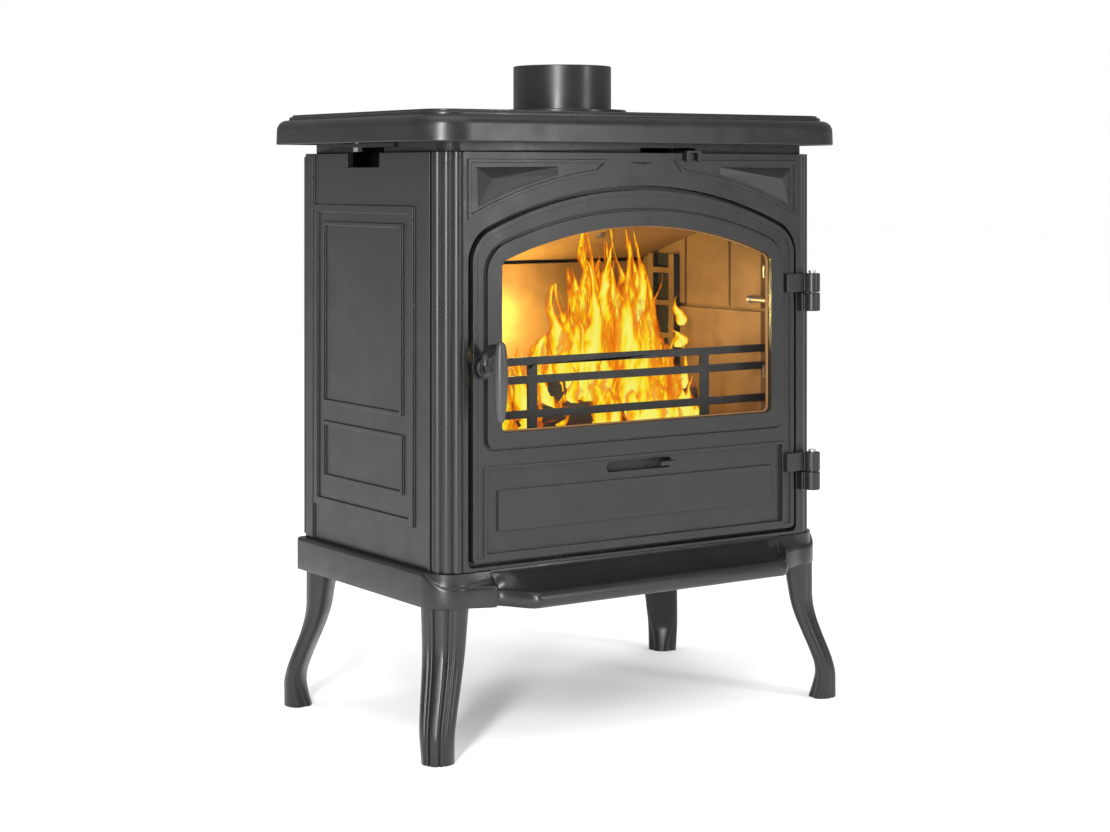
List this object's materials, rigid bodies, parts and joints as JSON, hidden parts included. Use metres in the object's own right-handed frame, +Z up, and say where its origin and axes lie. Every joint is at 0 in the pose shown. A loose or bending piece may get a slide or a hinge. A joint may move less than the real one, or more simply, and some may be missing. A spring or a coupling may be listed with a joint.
{
  "type": "wood burning stove",
  "caption": "Cast-iron wood burning stove on curved legs, with an arched glass door, a turning latch handle, sliding air controls, an ash lip and a top flue collar.",
  "frame": {"origin": "on the floor under the middle of the stove's overall box", "axes": "+Z up, the door faces -Y, +X to the right of someone facing the door"},
  "size_m": [0.656, 0.4404, 0.842],
  "materials": {
    "cast_iron": "graphite grey stove paint, satin",
    "inner_iron": "dark, sooty, matt",
    "shield_steel": "matt dark grey",
    "fixings": "plain steel",
    "firebrick": "matt tan refractory board",
    "rope_seal": "woven glass-fibre rope",
    "door_glass": "clear heat-resistant glass",
    "handle_iron": "lighter grey, worn by hands",
    "pan_steel": "matt black sheet"
  },
  "bodies": {
    "stove": {"base_casting": "cast_iron", "ash_lip": "cast_iron", "leg_front_left": "cast_iron", "leg_front_right": "cast_iron", "leg_rear_left": "cast_iron", "leg_rear_right": "cast_iron", "leg_bolts": "fixings", "front_casting": "cast_iron", "side_panel_left": "cast_iron", "side_panel_right": "cast_iron", "rear_panel": "inner_iron", "rear_heat_shield": "shield_steel", "shield_spacers": "fixings", "shield_screws": "fixings", "top_plate": "cast_iron", "flue_collar": "cast_iron", "collar_screws": "fixings", "clamp_bars": "inner_iron", "clamp_bolts": "fixings", "tie_rods": "fixings", "hearth_plate": "inner_iron", "ash_chamber_left": "inner_iron", "ash_chamber_right": "inner_iron", "pan_rails": "fixings", "fire_grate": "inner_iron", "liner_left": "firebrick", "liner_right": "firebrick", "liner_back": "firebrick", "liner_bracket": "inner_iron", "baffle_plate": "firebrick", "baffle_bolt": "fixings", "air_jet": "fixings", "fire_fence": "inner_iron", "latch_keeper": "fixings", "upper_hinge_lug": "cast_iron", "lower_hinge_lug": "cast_iron", "upper_hinge_pin": "fixings", "lower_hinge_pin": "fixings"},
    "door": {"door_casting": "cast_iron", "door_glass": "door_glass", "glass_seal": "rope_seal", "glass_clips": "fixings", "clip_screws": "fixings", "door_seal": "rope_seal", "upper_hinge_leaf": "cast_iron", "lower_hinge_leaf": "cast_iron", "slider_guides": "fixings"},
    "handle": {"handle_hub": "cast_iron", "handle_grip": "handle_iron", "handle_spindle": "inner_iron", "latch_tongue": "fixings", "spindle_nut": "fixings"},
    "air_slider": {"air_slider_plate": "inner_iron", "air_slider_lever": "cast_iron"},
    "airwash": {"airwash_slide": "cast_iron"},
    "ash_drawer": {"ash_pan": "pan_steel", "ash_pan_handle": "pan_steel"}
  },
  "joints": [
    {"name": "door_hinge", "type": "hinge", "parent": "stove", "child": "door", "pos_m": [0.275, -0.17375, 0.44], "axis": [0, 0, 1], "range_deg": [0, 110]},
    {"name": "handle_turn", "type": "hinge", "parent": "door", "child": "handle", "pos_m": [-0.2385, -0.15675, 0.4665], "axis": [0, -1, 0], "range_deg": [0, 60]},
    {"name": "air_slide", "type": "slide", "parent": "door", "child": "air_slider", "axis": [-1, 0, 0], "range_m": [0, 0.084]},
    {"name": "airwash", "type": "slide", "parent": "stove", "child": "airwash", "axis": [-1, 0, 0], "range_m": [0, 0.06]},
    {"name": "ash_pan_slide", "type": "slide", "parent": "stove", "child": "ash_drawer", "axis": [0, -1, 0], "range_m": [0, 0.2]}
  ],
  "couplings": [
    {"joint": "ash_pan_slide", "follows": "door_hinge", "m_per_rad": 0.1}
  ]
}
